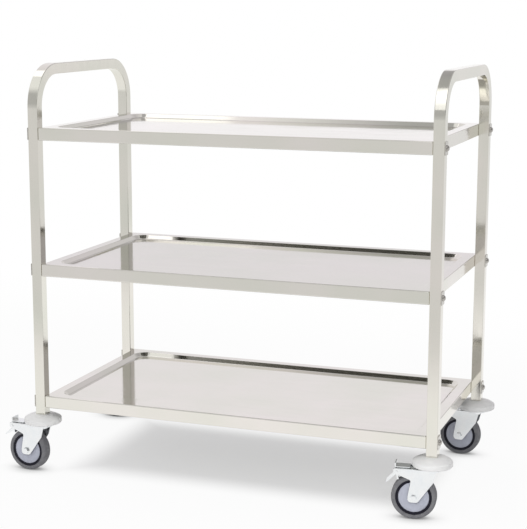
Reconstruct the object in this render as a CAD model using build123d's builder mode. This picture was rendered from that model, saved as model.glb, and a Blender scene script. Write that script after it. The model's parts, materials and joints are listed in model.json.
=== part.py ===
from build123d import *

import os
from math import atan2, cos, degrees, hypot, radians, tan

# Three-tier serving trolley. Millimetres, +X along the trays, +Y to the back, +Z up.
# The origin lies on the floor, at the middle of the rectangle of the four posts.

# End frames: bent square tube
trolley_length = 980.0  # over the outer faces of the posts
trolley_depth = 505.0  # over the front and back faces of the posts
tube_size = 25.0
tube_wall = 1.0
tube_corner = 1.5 * tube_wall  # outside corner of the tube's section
handle_bend = 87.5  # bend radius at the middle of the tube
handle_rise = 144.5  # top of the push handles above the rim of the top tray

# Trays: pressed sheet
tray_names = ("bottom_tray", "middle_tray", "top_tray")
tray_pitch = 319.5
lowest_rim_rise = 47.0  # rim of the lowest tray above the feet of the posts
sheet = 1.0
skirt = 29.0
skirt_corner = 4.0
skirt_edge = 2 * sheet  # rounding along the skirt's top and bottom
return_flange = 14.0  # turned-in strip along the skirt's bottom
rim_width = 25.0
recess_depth = 9.5
recess_slope = 45.0  # lean of the recess wall from upright, degrees
recess_corner = 35.0
rim_edge = 2 * sheet  # rounding where the rim turns down
deck_edge = 6.0  # rounding where the wall meets the deck

# Tray bolts
bolt_diameter = 6.0
bolt_head_diameter = 14.0
bolt_head_height = 5.5
bolt_tail = 2.0  # thread showing past the nut
bolt_plate = 2.0
bolt_plate_corner = 2.0
nut_flats = 10.0
nut_height = 5.5
nut_flange_diameter = 13.0
nut_flange = 1.2

# Wheels
wheel_diameter = 100.0
tyre_width = 28.0
tyre_depth = 10.0
tyre_shoulder = 6.0
tyre_lip = 1.5
ring_width = 6.0  # dark ring of the core that shows round the hub cover
core_width = 24.0
core_web = 8.0
hub_diameter = 22.0
hub_cover = 2.4
hub_cover_crown = 1.0  # swell of the cover's outer face
hub_cover_depth = 1.2  # cover's edge behind the face of the dark ring
axle_diameter = 8.0
axle_head_flats = 13.0
axle_head = 5.0
axle_nut = 6.5
axle_tail = 1.5
sleeve_wall = 2.0

# Forks
trail = 38.5  # axle behind the swivel axis
fork_gap = 33.0  # between the inner faces of the legs
fork_plate = 2.5
leg_foot_width = 26.0
leg_foot_drop = 10.4  # bottom of the foot below the axle
leg_foot_corner = 8.0
leg_shoulder_rise = 36.0  # height above the axle where the front edge turns up
leg_shoulder_reach = 3.5  # how far that corner stands in front of the swivel axis
crown_reach = 11.5  # front end of the crown past the swivel axis
crown_back = 2.0  # rear end of the crown behind the axle
crown_thickness = 3.0
crown_radius = 23.0
crown_gap = 12.5  # crown over the tyre
crown_edge = 1.5
ear_length = 22.0  # rear ear of a fork without a brake
ear_drop = 17.0
ear_top = 11.5
wing_margin = 7.0  # rear wing of a fork with a brake, past the pedal pin
wing_land = 2.0  # wing below the pedal pin, at its end
wing_root = 28.0  # depth of the wing where it leaves the leg
leg_fillet = 5.0
ear_tip = 2.5

# Swivel heads
stem_diameter = 12.0
stem_flats = 17.0
stem_collar = 4.5
ball_diameter = 5.0
ball_count = 14
ball_pitch_radius = 15.0
race_gap = 3.6  # between the crown and the upper race
race_radius = 22.0
race_thickness = 3.4
race_lip = 1.6
race_lip_drop = 1.8
retainer_radius = 12.0
retainer_flange = 2.5
retainer_neck_radius = 9.5
retainer_height = 6.5
stem_tail = 1.0

# Bumpers and post inserts
bumper_radius = 44.5
bumper_lap = 1.5  # rim hangs this far below the top of the upper race
bumper_rim = 12.0
bumper_dome = 10.0
bumper_dome_swell = 1.8
bumper_flat_radius = 19.0
bumper_edge = 3.5
insert_length = 25.0

# Brakes of the front casters
pin_diameter = 4.0
pin_head_diameter = 7.0
pin_head = 1.5
pin_reach = 38.0  # pedal pin behind the axle
pin_drop = 8.5  # pedal pin below the top of the crown
pedal_width = 26.0
pedal_plate = 2.5
pedal_hub_radius = 4.2
tongue_length = 31.0
tongue_angle = 44.0  # below level, degrees
tongue_drop = 3.0  # root of the tongue below the pin
release_lift = 0.6  # underside of the release plate above the top of the wings
release_length = 29.0
release_tab = 8.0  # upturned end of the release plate, above its top
pedal_swing = 24.0  # turn that brings the shoe to the tyre, degrees
shoe_thickness = 4.0
spring_width = 20.0
spring_plate = 1.5
spring_gap = 0.6  # free end of the leaf spring in front of the pedal hub
spring_seat = 12.0  # fixed end of the leaf spring in front of the axle
rivet_diameter = 6.0
rivet_height = 1.6

# Clearances
bolt_play = 0.2  # round bolts in drilled holes
thread_play = 0.05  # round threads and stems in their holes
turn_play = 0.08  # round journals that turn
fit_play = 0.1  # between fitted pieces that don't move
face_play = 0.3  # between faces that pass each other
shoe_play = 0.6  # shoe and tyre with the brake on

# Turn of each caster about its swivel axis, as it stands, degrees
caster_turn = {"front_left": -3.0, "front_right": 8.0, "rear_left": 0.0, "rear_right": -3.0}
braked_casters = ("front_left", "front_right")

# Heights, from the floor up
wheel_radius = wheel_diameter / 2
axle_z = wheel_radius
crown_under = wheel_diameter + crown_gap
crown_top = crown_under + crown_thickness
race_under = crown_top + race_gap
race_top = race_under + race_thickness
bumper_under = race_top - bumper_lap
bumper_shoulder = bumper_under + bumper_rim
post_foot = bumper_shoulder + bumper_dome
lowest_rim = post_foot + lowest_rim_rise
rims = [lowest_rim + tray_pitch * level for level in range(len(tray_names))]
handle_top = rims[-1] + handle_rise
bolt_drop = skirt / 2
bolt_heights = [rim - bolt_drop for rim in rims]

# Places in plan
post_x = (trolley_length - tube_size) / 2
post_y = (trolley_depth - tube_size) / 2
outer_face = trolley_length / 2
inner_face = outer_face - tube_size
tray_length = 2 * inner_face
bolt_hole = bolt_diameter / 2 + bolt_play
bolt_places = [(y, z) for z in bolt_heights for y in (-post_y, post_y)]
axle_x = -trail


def deliver(piece, name):
    """Label a finished piece and write it to its own file."""
    piece.label = name
    export_step(piece, f"parts/{name}.step")


os.makedirs("parts", exist_ok=True)


# End frame on the right: one tube from foot to foot, over the push handle
handle_line = handle_top - tube_size / 2
with BuildPart() as right_end_frame:
    with BuildLine():
        FilletPolyline(
            (post_x, -post_y, post_foot),
            (post_x, -post_y, handle_line),
            (post_x, post_y, handle_line),
            (post_x, post_y, post_foot),
            radius=handle_bend,
        )
    with BuildSketch(Plane((post_x, -post_y, post_foot))):
        RectangleRounded(tube_size, tube_size, tube_corner)
        bore_size = tube_size - 2 * tube_wall
        RectangleRounded(bore_size, bore_size, tube_corner - tube_wall, mode=Mode.SUBTRACT)
    sweep()
    with BuildSketch(Plane.YZ.offset(outer_face)):
        with Locations(*bolt_places):
            Circle(bolt_hole)
    extrude(amount=-tube_size, mode=Mode.SUBTRACT)
deliver(right_end_frame.part, "right_end_frame")

with BuildPart() as left_end_frame:
    mirror(right_end_frame.part, about=Plane.YZ)
deliver(left_end_frame.part, "left_end_frame")


# Trays
def tray_block(inset):
    """Solid of the tray's outline with its pressed recess, every face drawn in by inset."""
    lean = radians(recess_slope)
    spread = inset * (1 / cos(lean) - tan(lean))
    recess_length = tray_length - 2 * rim_width + 2 * spread
    recess_width = trolley_depth - 2 * rim_width + 2 * spread
    with BuildPart() as block:
        with BuildSketch(Plane.XY.offset(inset - skirt)):
            RectangleRounded(tray_length - 2 * inset, trolley_depth - 2 * inset, skirt_corner - inset)
        extrude(amount=skirt - 2 * inset)
        fillet(block.faces().sort_by(Axis.Z)[-1].edges(), skirt_edge - inset)
        fillet(block.faces().sort_by(Axis.Z)[0].edges(), skirt_edge - inset)
        with BuildSketch(Plane.XY.offset(-inset)):
            RectangleRounded(recess_length, recess_width, recess_corner + spread)
        extrude(amount=-recess_depth, taper=recess_slope, mode=Mode.SUBTRACT)
        level_faces = block.faces().filter_by(Plane.XY)
        deck_face = level_faces.sort_by(Axis.Z)[1]
        fillet(deck_face.edges(), deck_edge + inset)
        rim_face = block.faces().filter_by(Plane.XY).sort_by(Axis.Z)[-1]
        fillet(rim_face.inner_wires()[0].edges(), rim_edge - inset)
    return block.part


outer_block = tray_block(0)
inner_block = tray_block(sheet)
with BuildPart() as tray:
    add(outer_block)
    add(inner_block, mode=Mode.SUBTRACT)
    with BuildSketch(Plane.XY.offset(-skirt)):
        Rectangle(tray_length - 2 * return_flange, trolley_depth - 2 * return_flange)
    extrude(amount=2 * sheet, mode=Mode.SUBTRACT)
    with BuildSketch(Plane.YZ.offset(inner_face)):
        with Locations((-post_y, -bolt_drop), (post_y, -bolt_drop)):
            Circle(bolt_hole)
    extrude(amount=-2 * sheet, mode=Mode.SUBTRACT)
    with BuildSketch(Plane.YZ.offset(-inner_face)):
        with Locations((-post_y, -bolt_drop), (post_y, -bolt_drop)):
            Circle(bolt_hole)
    extrude(amount=2 * sheet, mode=Mode.SUBTRACT)

for name, rim in zip(tray_names, rims):
    deliver(Pos(0, 0, rim) * tray.part, name)


# Tray fasteners: modelled on the right end, mirrored to the left
def both_ends(piece):
    """Twelve copies of a fastener drawn at the right end's outer face, six at each end."""
    with BuildPart() as group:
        with Locations(*[(outer_face, y, z) for y, z in bolt_places]):
            add(piece)
        mirror(about=Plane.YZ)
    return group.part


bolt_length = tube_size + sheet + nut_height + bolt_tail
with BuildPart() as bolt:
    with BuildSketch(Plane.XY):
        with BuildLine():
            Line((bolt_plate, 0), (bolt_plate + bolt_head_height, 0))
            EllipticalCenterArc(
                (bolt_plate, 0),
                bolt_head_height,
                bolt_head_diameter / 2,
                start_angle=0,
                arc_size=90,
            )
            Line((bolt_plate, bolt_head_diameter / 2), (bolt_plate, 0))
        make_face()
        with Locations((bolt_plate, 0)):
            Rectangle(bolt_length + bolt_plate, bolt_diameter / 2, align=(Align.MAX, Align.MIN))
    revolve(axis=Axis.X)
deliver(both_ends(bolt.part), "tray_bolts")

with BuildPart() as plate:
    with BuildSketch(Plane.YZ):
        RectangleRounded(tube_size, skirt, bolt_plate_corner)
        Circle(bolt_hole, mode=Mode.SUBTRACT)
    extrude(amount=bolt_plate)
deliver(both_ends(plate.part), "bolt_plates")

nut_seat = -tube_size - sheet
with BuildPart() as nut:
    with BuildSketch(Plane.YZ.offset(nut_seat)):
        Circle(nut_flange_diameter / 2)
    extrude(amount=-nut_flange)
    with BuildSketch(Plane.YZ.offset(nut_seat)):
        RegularPolygon(nut_flats / 2, 6, major_radius=False)
    extrude(amount=-nut_height)
    with BuildSketch(Plane.YZ.offset(nut_seat)):
        Circle(bolt_diameter / 2 + thread_play)
    extrude(amount=-nut_height, mode=Mode.SUBTRACT)
deliver(both_ends(nut.part), "tray_nuts")


# Casters: modelled once about their own swivel axis, then set under the four posts
wheel_axis = Axis((axle_x, 0, axle_z), (0, 1, 0))
wheel_section = Plane(origin=(axle_x, 0, axle_z), x_dir=(1, 0, 0), z_dir=(0, 0, 1))
axle_side = Plane(origin=(axle_x, 0, axle_z), x_dir=(1, 0, 0), z_dir=(0, -1, 0))
tyre_inner = wheel_radius - tyre_depth
rim_inner = tyre_inner - ring_width
hub_radius = hub_diameter / 2
fork_width = fork_gap + 2 * fork_plate
hub_length = fork_gap - 2 * face_play
axle_radius = axle_diameter / 2
axle_hole = axle_radius + thread_play
sleeve_radius = axle_hole + sleeve_wall
hub_bore = sleeve_radius + turn_play

with BuildPart() as tyre:
    with BuildSketch(wheel_section) as tyre_profile:
        with Locations((tyre_inner + fit_play, 0)):
            Rectangle(tyre_depth - fit_play, tyre_width, align=(Align.MIN, Align.CENTER))
        fillet(tyre_profile.vertices().group_by(Axis.X)[-1], tyre_shoulder)
        fillet(tyre_profile.vertices().group_by(Axis.X)[0], tyre_lip)
    revolve(axis=wheel_axis)

with BuildPart() as wheel_core:
    with BuildSketch(wheel_section):
        with Locations((hub_bore, 0)):
            Rectangle(hub_radius - hub_bore, hub_length, align=(Align.MIN, Align.CENTER))
        with Locations((hub_radius, 0)):
            Rectangle(rim_inner - hub_radius, core_web, align=(Align.MIN, Align.CENTER))
        with Locations((rim_inner, 0)):
            Rectangle(ring_width, core_width, align=(Align.MIN, Align.CENTER))
    revolve(axis=wheel_axis)

cover_face = core_width / 2 - hub_cover_depth
cover_inner = hub_radius + fit_play
cover_outer = rim_inner - fit_play
with BuildPart() as hub_covers:
    with BuildSketch(wheel_section):
        with BuildLine():
            Polyline(
                (cover_inner, cover_face),
                (cover_inner, cover_face - hub_cover),
                (cover_outer, cover_face - hub_cover),
                (cover_outer, cover_face),
            )
            SagittaArc((cover_outer, cover_face), (cover_inner, cover_face), -hub_cover_crown)
        make_face()
    revolve(axis=wheel_axis)
    mirror(about=Plane.XZ)

with BuildPart() as axle_sleeve:
    with BuildSketch(axle_side.offset(-fork_gap / 2)):
        Circle(sleeve_radius)
        Circle(axle_hole, mode=Mode.SUBTRACT)
    extrude(amount=fork_gap)

with BuildPart() as axle_bolt:
    with BuildSketch(axle_side.offset(fork_width / 2)):
        RegularPolygon(axle_head_flats / 2, 6, major_radius=False)
    extrude(amount=axle_head)
    with BuildSketch(axle_side.offset(fork_width / 2)):
        Circle(axle_radius)
    extrude(amount=-fork_width - axle_nut - axle_tail)
    with BuildSketch(axle_side.offset(-fork_width / 2)):
        RegularPolygon(axle_head_flats / 2, 6, major_radius=False)
        Circle(axle_hole, mode=Mode.SUBTRACT)
    extrude(amount=-axle_nut)

# Swivel head
stem_radius = stem_diameter / 2
stem_hole = stem_radius + thread_play
ball_radius = ball_diameter / 2
ball_z = crown_top + race_gap / 2
retainer_top = crown_under - face_play
retainer_under = retainer_top - retainer_height
stem_low = retainer_under - stem_tail
stem_top = post_foot + insert_length

with BuildPart() as caster_stem:
    with BuildSketch(Plane.XY.offset(stem_low)):
        Circle(stem_radius)
    extrude(amount=stem_top - stem_low)
    with BuildSketch(Plane.XY.offset(race_top)):
        RegularPolygon(stem_flats / 2, 6, major_radius=False)
    extrude(amount=stem_collar)

with BuildPart() as upper_race:
    with BuildSketch(Plane.XZ):
        with Locations((stem_hole, race_under)):
            Rectangle(race_radius - stem_hole, race_thickness, align=(Align.MIN, Align.MIN))
        with Locations((race_radius, race_top)):
            Rectangle(race_lip, race_thickness + race_lip_drop, align=(Align.MAX, Align.MAX))
        with Locations((ball_pitch_radius, ball_z)):
            Circle(ball_radius + face_play, mode=Mode.SUBTRACT)
    revolve(axis=Axis.Z)

with BuildPart() as swivel_balls:
    with Locations((0, 0, ball_z)):
        with PolarLocations(ball_pitch_radius, ball_count):
            Sphere(ball_radius)

with BuildPart() as swivel_retainer:
    with BuildSketch(Plane.XZ):
        with Locations((stem_hole, retainer_top)):
            Rectangle(retainer_radius - stem_hole, retainer_flange, align=(Align.MIN, Align.MAX))
            Rectangle(retainer_neck_radius - stem_hole, retainer_height, align=(Align.MIN, Align.MAX))
    revolve(axis=Axis.Z)

# Bumper disc: domed puck round the stem, with the foot of the post on its flat top
collar_pocket = stem_flats / 2 / cos(radians(30)) + fit_play
with BuildPart() as bumper:
    with BuildSketch(Plane.XZ) as bumper_profile:
        with BuildLine():
            Polyline(
                (bumper_flat_radius, post_foot),
                (stem_hole, post_foot),
                (stem_hole, race_top + stem_collar + fit_play),
                (collar_pocket, race_top + stem_collar + fit_play),
                (collar_pocket, race_top),
                (race_radius + fit_play, race_top),
                (race_radius + fit_play, bumper_under),
                (bumper_radius, bumper_under),
                (bumper_radius, bumper_shoulder),
            )
            SagittaArc((bumper_radius, bumper_shoulder), (bumper_flat_radius, post_foot), -bumper_dome_swell)
        make_face()
        fillet(bumper_profile.vertices().group_by(Axis.X)[-1], bumper_edge)
    revolve(axis=Axis.Z)

insert_size = tube_size - 2 * tube_wall - 2 * fit_play
with BuildPart() as post_inserts:
    with BuildSketch(Plane.XY.offset(post_foot)):
        with GridLocations(2 * post_x, 2 * post_y, 2, 2):
            RectangleRounded(insert_size, insert_size, tube_corner - tube_wall)
            Circle(stem_hole, mode=Mode.SUBTRACT)
    extrude(amount=insert_length)
deliver(post_inserts.part, "post_inserts")

# Forks
crown_level = crown_top - axle_z
pin_level = crown_level - pin_drop
pin_side = Plane(origin=(axle_x - pin_reach, 0, axle_z + pin_level), x_dir=(1, 0, 0), z_dir=(0, -1, 0))
pin_hole = pin_diameter / 2 + thread_play


def leg_outline(rear_edge):
    """Side of a fork leg, drawn about the axle: round foot, raked front edge, pointed rear edge."""
    with BuildSketch() as leg:
        with BuildLine():
            Polyline(
                (-crown_back, crown_level),
                (trail + crown_reach, crown_level),
                (trail + leg_shoulder_reach, leg_shoulder_rise),
                close=True,
            )
        make_face()
        RectangleRounded(leg_foot_width, 2 * leg_foot_drop, leg_foot_corner)
        make_hull()
        with BuildLine():
            Polyline((0, crown_level), *rear_edge, (0, crown_level - wing_root), close=True)
        make_face()
        notch = leg.vertices().sort_by_distance((-leg_foot_width / 2, crown_level - wing_root, 0))[0]
        fillet(notch, leg_fillet)
        fillet(leg.vertices().group_by(Axis.X)[0], ear_tip)
    return leg.sketch


def make_fork(rear_edge):
    """Fork of folded plate: two legs under a crown with the swivel bore and the ball groove."""
    outline = leg_outline(rear_edge)
    with BuildPart() as fork:
        with BuildSketch(axle_side.offset(fork_gap / 2)):
            add(outline)
        extrude(amount=fork_plate)
        mirror(about=Plane.XZ)
        with BuildSketch(Plane.XY.offset(crown_under)):
            with Locations((axle_x - crown_back, 0)):
                Rectangle(
                    crown_back + trail + crown_reach,
                    fork_width,
                    align=(Align.MIN, Align.CENTER),
                )
        extrude(amount=crown_thickness)
        fold_edges = fork.edges().filter_by(Axis.X).group_by(Axis.Z)[-1]
        fillet(fold_edges.sort_by(Axis.Y)[0], crown_edge)
        fold_edges = fork.edges().filter_by(Axis.X).group_by(Axis.Z)[-1]
        fillet(fold_edges.sort_by(Axis.Y)[-1], crown_edge)
        with BuildSketch(Plane.XY.offset(crown_under)):
            Circle(crown_radius)
        extrude(amount=crown_thickness)
        with BuildSketch(Plane.XY.offset(crown_under)):
            Circle(stem_radius + turn_play)
        extrude(amount=crown_thickness, mode=Mode.SUBTRACT)
        with BuildSketch(Plane.XZ):
            with Locations((ball_pitch_radius, ball_z)):
                Circle(ball_radius + fit_play)
        revolve(axis=Axis.Z, mode=Mode.SUBTRACT)
        with BuildSketch(axle_side.offset(fork_width / 2)):
            Circle(axle_hole)
        extrude(amount=-fork_width, mode=Mode.SUBTRACT)
    return fork.part


plain_fork = make_fork([(-ear_top, crown_level), (-ear_length, crown_level - ear_drop)])
wing_end = -pin_reach - wing_margin
winged_fork = make_fork([(wing_end, crown_level), (wing_end, pin_level - wing_land)])
with BuildPart() as braked_fork:
    add(winged_fork)
    with BuildSketch(pin_side.offset(fork_width / 2)):
        Circle(pin_hole)
    extrude(amount=-fork_width, mode=Mode.SUBTRACT)

# Brake: pin across the wings, pedal that turns on it, leaf spring under the crown
with BuildPart() as brake_pin:
    with BuildSketch(pin_side.offset(fork_width / 2 + pin_head)):
        Circle(pin_diameter / 2)
    extrude(amount=-fork_width - 2 * pin_head)
    with BuildSketch(pin_side.offset(fork_width / 2)):
        Circle(pin_head_diameter / 2)
    extrude(amount=pin_head)
    with BuildSketch(pin_side.offset(-fork_width / 2)):
        Circle(pin_head_diameter / 2)
    extrude(amount=-pin_head)

pin_to_axle = hypot(pin_reach, pin_level)
release_rise = pin_drop + release_lift
shoe_length = pin_to_axle - wheel_radius - shoe_play
shoe_angle = -degrees(atan2(pin_level, pin_reach)) - pedal_swing
with BuildPart() as brake_pedal:
    with BuildSketch(pin_side.offset(-pedal_width / 2)):
        Circle(pedal_hub_radius)
        with Locations((-pedal_hub_radius, 0)):
            Rectangle(pedal_plate, release_rise + pedal_plate + release_tab, align=(Align.MIN, Align.MIN))
        with Locations((-pedal_hub_radius, release_rise)):
            Rectangle(pedal_hub_radius + release_length, pedal_plate, align=(Align.MIN, Align.MIN))
        with Locations((0, -tongue_drop)):
            Rectangle(
                tongue_length,
                pedal_plate,
                rotation=180 + tongue_angle,
                align=(Align.MIN, Align.CENTER),
            )
        Rectangle(shoe_length, shoe_thickness, rotation=shoe_angle, align=(Align.MIN, Align.CENTER))
        Circle(pin_diameter / 2 + turn_play, mode=Mode.SUBTRACT)
    extrude(amount=pedal_width)

spring_start = axle_x - pin_reach + pedal_hub_radius + spring_gap
spring_end = axle_x + spring_seat
rivet_x = axle_x + (spring_seat - crown_back) / 2
spring_under = crown_under - spring_plate
with BuildPart() as brake_spring:
    with BuildSketch(Plane.XY.offset(spring_under)):
        with Locations((spring_start, 0)):
            Rectangle(spring_end - spring_start, spring_width, align=(Align.MIN, Align.CENTER))
    extrude(amount=spring_plate)
    with BuildSketch(Plane.XY.offset(spring_under)):
        with Locations((rivet_x, 0)):
            Circle(rivet_diameter / 2)
    extrude(amount=-rivet_height)
    fillet(brake_spring.faces().sort_by(Axis.Z)[0].edges(), rivet_height / 2)

# One caster under each post
caster_places = {
    "front_left": (-post_x, -post_y),
    "front_right": (post_x, -post_y),
    "rear_left": (-post_x, post_y),
    "rear_right": (post_x, post_y),
}
for corner, (x, y) in caster_places.items():
    pieces = {
        "bumper_disc": bumper.part,
        "caster_stem": caster_stem.part,
        "upper_race": upper_race.part,
        "swivel_balls": swivel_balls.part,
        "swivel_retainer": swivel_retainer.part,
        "fork": plain_fork,
        "axle_bolt": axle_bolt.part,
        "axle_sleeve": axle_sleeve.part,
        "wheel_core": wheel_core.part,
        "hub_covers": hub_covers.part,
        "tyre": tyre.part,
    }
    if corner in braked_casters:
        pieces["fork"] = braked_fork.part
        pieces["brake_pin"] = brake_pin.part
        pieces["brake_pedal"] = brake_pedal.part
        pieces["brake_spring"] = brake_spring.part
    place = Location((x, y, 0), (0, 0, caster_turn[corner]))
    for name, piece in pieces.items():
        deliver(place * piece, f"{corner}_{name}")
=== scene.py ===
import json
import math

import bpy
from mathutils import Matrix, Vector

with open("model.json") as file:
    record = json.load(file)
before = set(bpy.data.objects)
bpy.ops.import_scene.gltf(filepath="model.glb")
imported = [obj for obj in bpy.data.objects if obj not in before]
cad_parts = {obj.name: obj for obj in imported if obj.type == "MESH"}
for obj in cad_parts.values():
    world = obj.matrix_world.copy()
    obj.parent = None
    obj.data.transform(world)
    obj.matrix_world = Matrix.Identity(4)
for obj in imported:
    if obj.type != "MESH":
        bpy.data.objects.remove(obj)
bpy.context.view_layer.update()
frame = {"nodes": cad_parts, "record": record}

scene = bpy.context.scene

# The photograph's camera, in metres and degrees
PHOTO_WIDTH = 527  # pixels
PHOTO_HEIGHT = 529
FOCAL_PIXELS = 1408.3
SENSOR_WIDTH = 36.0  # millimetres
CAMERA_PLACE = (1.1279, -3.1315, 1.1061)
CAMERA_TURN = 19.83  # to the left of straight back
CAMERA_DIP = 10.40  # below level
CAMERA_ROLL = 0.11

# Textures
NOISE_RANGE = (0.3, 0.7)  # most values of a noise texture lie between these
MILL_AND_SHADE_FACES = (-0.9, -0.6)  # upward part of the normal, from faces with the mill's finish and painted shade to polished ones

# Floor, in metres: white to the eye and in the steel, with the shadow kept under the trolley
FLOOR_SIZE = 60.0
FLOOR_COLOUR = (0.95, 0.95, 0.95, 1)
SHADOW_HALF_LENGTH = 0.35  # the shadow is full inside this box under the trolley
SHADOW_HALF_WIDTH = 0.145
SHADOW_BACK = 0.012  # middle of the box behind the middle of the trolley
SHADOW_FADE = 0.12  # and fades into the white floor over this distance
SHADOW_GLOW = 0.44  # share of plain white in the shadow's box
FLOOR_GLOW = 0.93  # share of plain white round it
FAR_FLOOR = (0.5, 2.0)  # distances from the box between which the rest turns plain white too
CONTACT_SHADOW_REACH = 0.05  # painted contact shadow: round the wheels the white darkens within this distance
CONTACT_SHADOW_TONE = 0.2  # tone of the painted contact shadow right at the contact
FRONT_APRON = (-2.0, -1.0)  # the floor greys in front of the trolley, from the second place to the first
FRONT_APRON_TONE = 0.76
SIDE_APRON = (0.75, 1.3)  # and less so on the right, from the first place to the second
SIDE_APRON_TONE = 0.82

# Room: tones by the direction looked in, whose parts are X to the right, Y to the back and Z up
FRONT_TONES = [(0.0, 0.72), (0.10, 0.52), (0.50, 0.52), (0.70, 0.98), (1.0, 0.95)]  # Z and tone
BACK_COLOURS = [  # Z and colour: white at the horizon, with a hint of lilac above, which the decks show
    (0.04, (1.0, 1.0, 1.0)),
    (0.08, (1.0, 0.98, 1.0)),
    (0.17, (0.80, 0.78, 0.81)),
    (0.28, (0.92, 0.90, 0.93)),
    (0.80, (0.85, 0.83, 0.86)),
    (1.0, (0.95, 0.95, 0.95)),
]
FRONT_TO_BACK = (-0.25, 0.25)  # the tones in front pass into those behind between these Y
RIGHT_TONES = [(0.0, 1.0), (0.13, 0.80), (0.32, 0.74), (0.50, 0.50)]  # X and tone
RIGHT_RISE = (0.0, 0.15)  # the greyer right fades in above the horizon between these Z
PATCH_SHADE = 0.52  # darkening of the patch, which fades in and out between the next values
PATCH_RISE = (0.30, 0.45)
PATCH_BACK = (-0.45, -0.10)
PATCH_LEFT = (-0.36, -0.22)
PATCH_RIGHT = (0.0, 0.1)


# Short ways to write node trees
def feed(tree, socket, value):
    """Link the socket to another one, or set it to a constant."""
    if isinstance(value, bpy.types.NodeSocket):
        tree.links.new(value, socket)
    else:
        socket.default_value = value


def maths(tree, operation, *values):
    """The result of a maths node on sockets or numbers."""
    node = tree.nodes.new("ShaderNodeMath")
    node.operation = operation
    for socket, value in zip(node.inputs, values):
        feed(tree, socket, value)
    return node.outputs["Value"]


def product(tree, *values):
    """All values multiplied."""
    result = values[0]
    for value in values[1:]:
        result = maths(tree, "MULTIPLY", result, value)
    return result


def span(tree, source, start, end, low=0.0, high=1.0, course="SMOOTHSTEP"):
    """Values from low to high while the source goes from start to end."""
    node = tree.nodes.new("ShaderNodeMapRange")
    node.interpolation_type = course
    node.inputs["From Min"].default_value = start
    node.inputs["From Max"].default_value = end
    node.inputs["To Min"].default_value = low
    node.inputs["To Max"].default_value = high
    tree.links.new(source, node.inputs["Value"])
    return node.outputs["Result"]


def ramp(tree, source, stops):
    """Colours at the given places of the source."""
    node = tree.nodes.new("ShaderNodeValToRGB")
    elements = node.color_ramp.elements
    while len(elements) < len(stops):
        elements.new(1.0)
    for element, (position, colour) in zip(elements, stops):
        element.position = position
        element.color = (*colour, 1)
    tree.links.new(source, node.inputs["Fac"])
    return node.outputs["Color"]


def tone_ramp(tree, source, stops):
    """Grey tones at the given places of the source."""
    return ramp(tree, source, [(position, (tone, tone, tone)) for position, tone in stops])


def mix(tree, kind, share, first, second):
    """From the first to the second by the share; the kind is Float or Color."""
    node = tree.nodes.new("ShaderNodeMix")
    node.data_type = {"Float": "FLOAT", "Color": "RGBA"}[kind]
    inputs = {socket.identifier: socket for socket in node.inputs}
    outputs = {socket.identifier: socket for socket in node.outputs}
    feed(tree, inputs["Factor_Float"], share)
    feed(tree, inputs["A_" + kind], first)
    feed(tree, inputs["B_" + kind], second)
    return outputs["Result_" + kind]


def parts(tree, vector):
    """The X, Y and Z of a vector."""
    node = tree.nodes.new("ShaderNodeSeparateXYZ")
    tree.links.new(vector, node.inputs["Vector"])
    return node.outputs


def coordinates(tree, name):
    return tree.nodes.new("ShaderNodeTexCoord").outputs[name]


def seen_rays(tree):
    """1 for rays that show the background, straight or in metal or glass, and 0 for the rest."""
    path = tree.nodes.new("ShaderNodeLightPath").outputs
    straight_or_glossy = maths(tree, "MAXIMUM", path["Is Camera Ray"], path["Is Glossy Ray"])
    return maths(tree, "MAXIMUM", straight_or_glossy, path["Is Transmission Ray"])


# Materials: every one is built from nodes, in metres of the part's own frame
class Look:
    """A node material round one Principled shader, with short ways to add texture."""

    def __init__(self, name, colour, metallic, roughness):
        self.material = bpy.data.materials.new(name)
        self.material.use_nodes = True
        self.tree = self.material.node_tree
        self.inputs = self.tree.nodes["Principled BSDF"].inputs
        self.inputs["Base Color"].default_value = (*colour, 1)
        self.inputs["Metallic"].default_value = metallic
        self.inputs["Roughness"].default_value = roughness
        self.place = coordinates(self.tree, "Object")
        self.relief = None

    def noise(self, scale, detail, stretch=(1, 1, 1)):
        """Noise with its features 1/scale metres wide, drawn out by the stretch along each axis."""
        mapping = self.tree.nodes.new("ShaderNodeMapping")
        mapping.inputs["Scale"].default_value = [scale / along for along in stretch]
        self.tree.links.new(self.place, mapping.inputs["Vector"])
        texture = self.tree.nodes.new("ShaderNodeTexNoise")
        texture.inputs["Scale"].default_value = 1.0
        texture.inputs["Detail"].default_value = detail
        self.tree.links.new(mapping.outputs["Vector"], texture.inputs["Vector"])
        return texture.outputs["Fac"]

    def colour(self, noise, low, high):
        """Base colours from low to high with the noise."""
        start, end = NOISE_RANGE
        feed(self.tree, self.inputs["Base Color"], ramp(self.tree, noise, [(start, low), (end, high)]))

    def roughness(self, noise, low, high):
        """Roughness from low to high with the noise."""
        feed(self.tree, self.inputs["Roughness"], span(self.tree, noise, *NOISE_RANGE, low, high, "LINEAR"))

    def bump(self, noise, height):
        """Relief of the given height in metres, on top of any relief added before."""
        bump = self.tree.nodes.new("ShaderNodeBump")
        bump.inputs["Distance"].default_value = height
        self.tree.links.new(noise, bump.inputs["Height"])
        if self.relief:
            self.tree.links.new(self.relief, bump.inputs["Normal"])
        self.relief = bump.outputs["Normal"]
        self.tree.links.new(self.relief, self.inputs["Normal"])

    def mill_finish_and_underside_shade(self, colour, roughness):
        """A darker colour, which is painted shade, and the rougher mill finish of the back of polished sheet,
        on the faces that look down.
        """
        # painted shade: the colour of faces that look down is darkened, and their roughness raised for the
        # mill finish
        normal = self.tree.nodes.new("ShaderNodeNewGeometry").outputs["Normal"]
        share = span(self.tree, parts(self.tree, normal)["Z"], *MILL_AND_SHADE_FACES, 1.0, 0.0, "LINEAR")
        for name, kind, value in (("Base Color", "Color", (*colour, 1)), ("Roughness", "Float", roughness)):
            polished = self.inputs[name].links[0].from_socket
            feed(self.tree, self.inputs[name], mix(self.tree, kind, share, polished, value))


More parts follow.
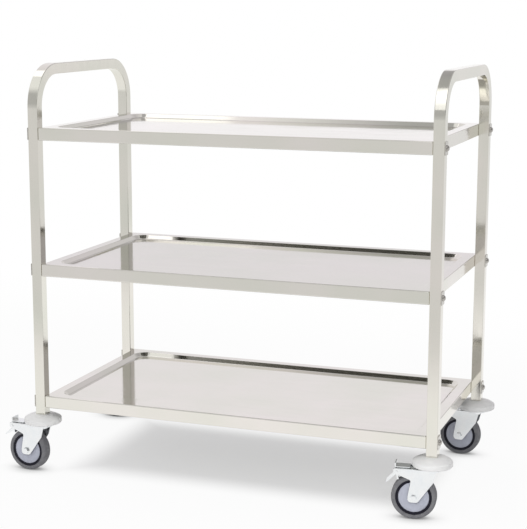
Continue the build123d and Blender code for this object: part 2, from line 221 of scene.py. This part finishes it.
def polished_tube():
    look = Look("polished_tube", (0.80, 0.78, 0.71), metallic=1.0, roughness=0.10)
    look.colour(look.noise(7, 3), (0.765, 0.76, 0.685), (0.83, 0.79, 0.735))
    look.roughness(look.noise(60, 6, stretch=(1, 1, 6)), 0.06, 0.15)
    look.bump(look.noise(35, 2), height=0.00008)  # slight waves
    look.bump(look.noise(900, 2, stretch=(1, 1, 40)), height=0.000006)  # grain along the posts
    return look.material


def polished_sheet():
    look = Look("polished_sheet", (0.80, 0.78, 0.72), metallic=1.0, roughness=0.09)
    look.colour(look.noise(5, 3), (0.77, 0.765, 0.69), (0.83, 0.79, 0.75))
    look.roughness(look.noise(45, 6, stretch=(5, 1, 1)), 0.05, 0.13)
    look.bump(look.noise(14, 2), height=0.00010)  # slight waves
    look.bump(look.noise(1000, 2, stretch=(60, 1, 1)), height=0.000005)  # grain along the trays
    # painted shade: the downward faces of the trays are darker, with a rougher mill finish
    look.mill_finish_and_underside_shade((0.36, 0.36, 0.345), roughness=0.42)
    return look.material


def bright_bolt():
    look = Look("bright_bolt", (0.50, 0.48, 0.45), metallic=1.0, roughness=0.24)
    look.colour(look.noise(160, 4), (0.42, 0.40, 0.37), (0.56, 0.54, 0.51))
    look.roughness(look.noise(420, 5), 0.16, 0.32)
    return look.material


def plain_plate():
    look = Look("plain_plate", (0.62, 0.60, 0.56), metallic=1.0, roughness=0.22)
    look.colour(look.noise(90, 4), (0.56, 0.54, 0.50), (0.68, 0.66, 0.62))
    look.roughness(look.noise(260, 5), 0.16, 0.30)
    return look.material


def zinc_plate():
    look = Look("zinc_plate", (0.88, 0.90, 0.91), metallic=1.0, roughness=0.22)
    look.colour(look.noise(55, 5), (0.86, 0.885, 0.90), (0.91, 0.92, 0.92))
    look.roughness(look.noise(210, 5), 0.17, 0.27)
    look.bump(look.noise(420, 4), height=0.000008)
    return look.material


def bumper_plastic():
    look = Look("bumper_plastic", (0.87, 0.87, 0.86), metallic=0.0, roughness=0.44)
    look.colour(look.noise(45, 6), (0.84, 0.84, 0.835), (0.90, 0.90, 0.89))
    look.roughness(look.noise(150, 5), 0.36, 0.52)
    look.bump(look.noise(2200, 3), height=0.00002)
    return look.material


def core_plastic():
    look = Look("core_plastic", (0.008, 0.008, 0.016), metallic=0.0, roughness=0.45)
    look.colour(look.noise(120, 5), (0.006, 0.006, 0.012), (0.013, 0.013, 0.024))
    look.roughness(look.noise(240, 4), 0.36, 0.55)
    look.bump(look.noise(2000, 3), height=0.00002)
    look.inputs["Specular IOR Level"].default_value = 0.2
    return look.material


def cover_plastic():
    look = Look("cover_plastic", (0.50, 0.52, 0.61), metallic=0.0, roughness=0.42)
    look.colour(look.noise(60, 6), (0.46, 0.48, 0.56), (0.53, 0.55, 0.64))
    look.roughness(look.noise(200, 5), 0.34, 0.52)
    look.bump(look.noise(1800, 3), height=0.000025)
    return look.material


def tyre_rubber():
    look = Look("tyre_rubber", (0.19, 0.19, 0.205), metallic=0.0, roughness=0.72)
    look.colour(look.noise(90, 7), (0.165, 0.165, 0.18), (0.225, 0.225, 0.235))
    look.roughness(look.noise(300, 5), 0.62, 0.85)
    look.bump(look.noise(1500, 5), height=0.00005)
    return look.material


materials = {
    "frame_steel": polished_tube(),
    "tray_steel": polished_sheet(),
    "bolt_steel": bright_bolt(),
    "plate_steel": plain_plate(),
    "zinc_steel": zinc_plate(),
    "bumper_plastic": bumper_plastic(),
    "core_plastic": core_plastic(),
    "cover_plastic": cover_plastic(),
    "tyre_rubber": tyre_rubber(),
}
slot_of = {entry["node"]: entry["material_slot"] for entry in frame["record"]["subparts"]}
for name, node in frame["nodes"].items():
    node.data.materials.clear()
    node.data.materials.append(materials[slot_of[name]])


# Stage: floor, room and lamps
def white_share(tree, place):
    """Share of plain white in the floor: low under the trolley, where its shadow stays, and high round it."""
    past_end = maths(tree, "SUBTRACT", maths(tree, "ABSOLUTE", place["X"]), SHADOW_HALF_LENGTH)
    from_middle = maths(tree, "SUBTRACT", place["Y"], SHADOW_BACK)
    past_side = maths(tree, "SUBTRACT", maths(tree, "ABSOLUTE", from_middle), SHADOW_HALF_WIDTH)
    past_box = maths(tree, "MAXIMUM", past_end, past_side)
    near_share = span(tree, past_box, 0.0, SHADOW_FADE, SHADOW_GLOW, FLOOR_GLOW)
    far_share = span(tree, past_box, *FAR_FLOOR, 0.0, 1.0 - FLOOR_GLOW)
    return product(tree, maths(tree, "ADD", near_share, far_share), seen_rays(tree))


def white_tone(tree, place):
    """Tone of that white: greyer far in front and on the right, and darkened by a painted contact shadow
    where the wheels stand.
    """
    front_tone = span(tree, place["Y"], *FRONT_APRON, FRONT_APRON_TONE, 1.0)
    side_tone = span(tree, place["X"], *SIDE_APRON, 1.0, SIDE_APRON_TONE)
    # painted contact shadow: ambient occlusion darkens the floor's white round the wheels
    wheel_occlusion = tree.nodes.new("ShaderNodeAmbientOcclusion")
    wheel_occlusion.inputs["Distance"].default_value = CONTACT_SHADOW_REACH
    contact_shadow = span(tree, wheel_occlusion.outputs["AO"], 0.0, 1.0, CONTACT_SHADOW_TONE, 1.0)
    return product(tree, maths(tree, "MINIMUM", front_tone, side_tone), contact_shadow)


def floor_material():
    material = bpy.data.materials.new("floor")
    material.use_nodes = True
    tree = material.node_tree
    tree.nodes.clear()
    place = parts(tree, coordinates(tree, "Object"))
    matt = tree.nodes.new("ShaderNodeBsdfDiffuse")
    matt.inputs["Color"].default_value = FLOOR_COLOUR
    white = tree.nodes.new("ShaderNodeEmission")
    feed(tree, white.inputs["Strength"], white_tone(tree, place))
    both = tree.nodes.new("ShaderNodeMixShader")
    feed(tree, both.inputs["Fac"], white_share(tree, place))
    feed(tree, both.inputs[1], matt.outputs["BSDF"])
    feed(tree, both.inputs[2], white.outputs["Emission"])
    output = tree.nodes.new("ShaderNodeOutputMaterial")
    feed(tree, output.inputs["Surface"], both.outputs["Shader"])
    return material


def make_floor():
    half = FLOOR_SIZE / 2
    corners = [(-half, -half, 0), (half, -half, 0), (half, half, 0), (-half, half, 0)]
    mesh = bpy.data.meshes.new("floor")
    mesh.from_pydata(corners, [], [(0, 1, 2, 3)])
    mesh.materials.append(floor_material())
    floor = bpy.data.objects.new("floor", mesh)
    scene.collection.objects.link(floor)


def right_tone(tree, direction):
    """Darkens the room towards the right, above the horizon."""
    shade = maths(tree, "SUBTRACT", 1.0, tone_ramp(tree, direction["X"], RIGHT_TONES))
    risen = span(tree, direction["Z"], *RIGHT_RISE)
    return maths(tree, "SUBTRACT", 1.0, product(tree, shade, risen))


def patch_tone(tree, direction):
    """Darkens one patch of the room, high up and left of the middle."""
    high = span(tree, direction["Z"], *PATCH_RISE)
    behind = span(tree, direction["Y"], *PATCH_BACK)
    past_left = span(tree, direction["X"], *PATCH_LEFT)
    past_right = span(tree, direction["X"], *PATCH_RIGHT, 1.0, 0.0)
    shade = product(tree, high, behind, past_left, past_right, PATCH_SHADE)
    return maths(tree, "SUBTRACT", 1.0, shade)


def make_room():
    """A pale room behind with a darker patch high up, greyer in front below its ceiling and to the right."""
    world = bpy.data.worlds.new("room")
    scene.world = world
    world.use_nodes = True
    tree = world.node_tree
    background = tree.nodes["Background"]
    direction = parts(tree, coordinates(tree, "Generated"))
    front = tone_ramp(tree, direction["Z"], FRONT_TONES)
    back = ramp(tree, direction["Z"], BACK_COLOURS)
    backward = span(tree, direction["Y"], *FRONT_TO_BACK)
    feed(tree, background.inputs["Color"], mix(tree, "Color", backward, front, back))
    strength = product(tree, right_tone(tree, direction), patch_tone(tree, direction))
    feed(tree, background.inputs["Strength"], strength)


def soft_lamp(name, place, target, width, height, watts):
    """A rectangular lamp at the place, aimed at the target."""
    data = bpy.data.lights.new(name, "AREA")
    data.shape = "RECTANGLE"
    data.size = width
    data.size_y = height
    data.energy = watts
    lamp = bpy.data.objects.new(name, data)
    lamp.location = place
    aim = Vector(target) - Vector(place)
    lamp.rotation_euler = aim.to_track_quat("-Z", "Y").to_euler()
    scene.collection.objects.link(lamp)
    return lamp


def make_lamps():
    soft_lamp("front_softbox", place=(0.71, -1.6, 2.5), target=(0.71, 0.0, 0.9),
              width=1.6, height=2.3, watts=8)
    soft_lamp("left_softbox", place=(-1.7, 0.2, 3.2), target=(-1.7, 0.2, 0.0),
              width=1.2, height=1.0, watts=2.2)
    low_fill = soft_lamp("low_fill", place=(0.6, -1.9, 0.9), target=(0.1, 0.0, 0.1),
                         width=1.6, height=0.8, watts=11)
    low_fill.visible_glossy = False  # it lights the casters and stays out of the polished steel


def make_camera():
    data = bpy.data.cameras.new("photo_camera")
    data.sensor_fit = "AUTO"
    data.sensor_width = SENSOR_WIDTH
    data.lens = FOCAL_PIXELS / max(PHOTO_WIDTH, PHOTO_HEIGHT) * SENSOR_WIDTH
    camera = bpy.data.objects.new("photo_camera", data)
    turn = Matrix.Rotation(math.radians(CAMERA_TURN), 4, "Z")
    dip = Matrix.Rotation(math.radians(90 - CAMERA_DIP), 4, "X")
    roll = Matrix.Rotation(math.radians(CAMERA_ROLL), 4, "Z")
    camera.matrix_world = Matrix.Translation(CAMERA_PLACE) @ turn @ dip @ roll
    scene.collection.objects.link(camera)
    scene.camera = camera


make_floor()
make_room()
make_lamps()
make_camera()
scene.view_settings.view_transform = "Standard"

bpy.context.view_layer.update()
